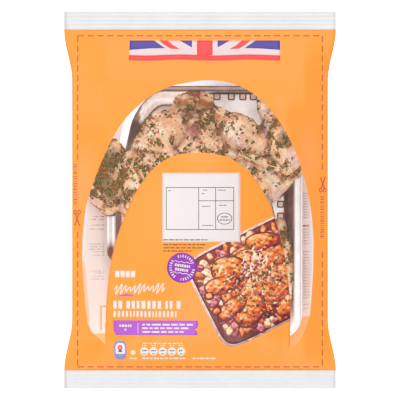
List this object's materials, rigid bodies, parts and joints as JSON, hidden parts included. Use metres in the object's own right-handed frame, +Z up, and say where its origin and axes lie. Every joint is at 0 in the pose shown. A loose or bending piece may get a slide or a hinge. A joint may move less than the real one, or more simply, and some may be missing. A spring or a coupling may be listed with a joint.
{
  "type": "whole raw chicken in sealed bag",
  "caption": "Seasoned whole raw chicken in a foil tray, sealed in a printed film bag with a clear arched window and crimped ends, lying face up.",
  "frame": {"origin": "centre of the bag's footprint, on the surface it lies on", "axes": "+Y from the foot of the printed front to its head, along the bag's length; +Z up out of the printed front; +X to the right as the front is read"},
  "size_m": [0.299, 0.415, 0.0985],
  "materials": {
    "printed_film": "glossy printed film",
    "clear_film": "clear glossy film",
    "seal_film": "milky crimped film",
    "back_film": "pale printed film",
    "white_ink": "glossy white print",
    "dark_ink": "glossy dark print",
    "rust_ink": "glossy red-brown print",
    "purple_ink": "glossy purple print",
    "red_ink": "glossy red print",
    "blue_ink": "glossy blue print",
    "roast_ink": "glossy mottled brown print",
    "foil": "bright pressed foil",
    "raw_skin": "moist pale skin",
    "raw_flesh": "moist pink flesh",
    "green_herbs": "dry chopped leaf",
    "red_flakes": "dry pepper flake",
    "dark_spice": "ground spice"
  },
  "bodies": {
    "root": {"sealed_bag": "printed_film"}
  },
  "joints": []
}
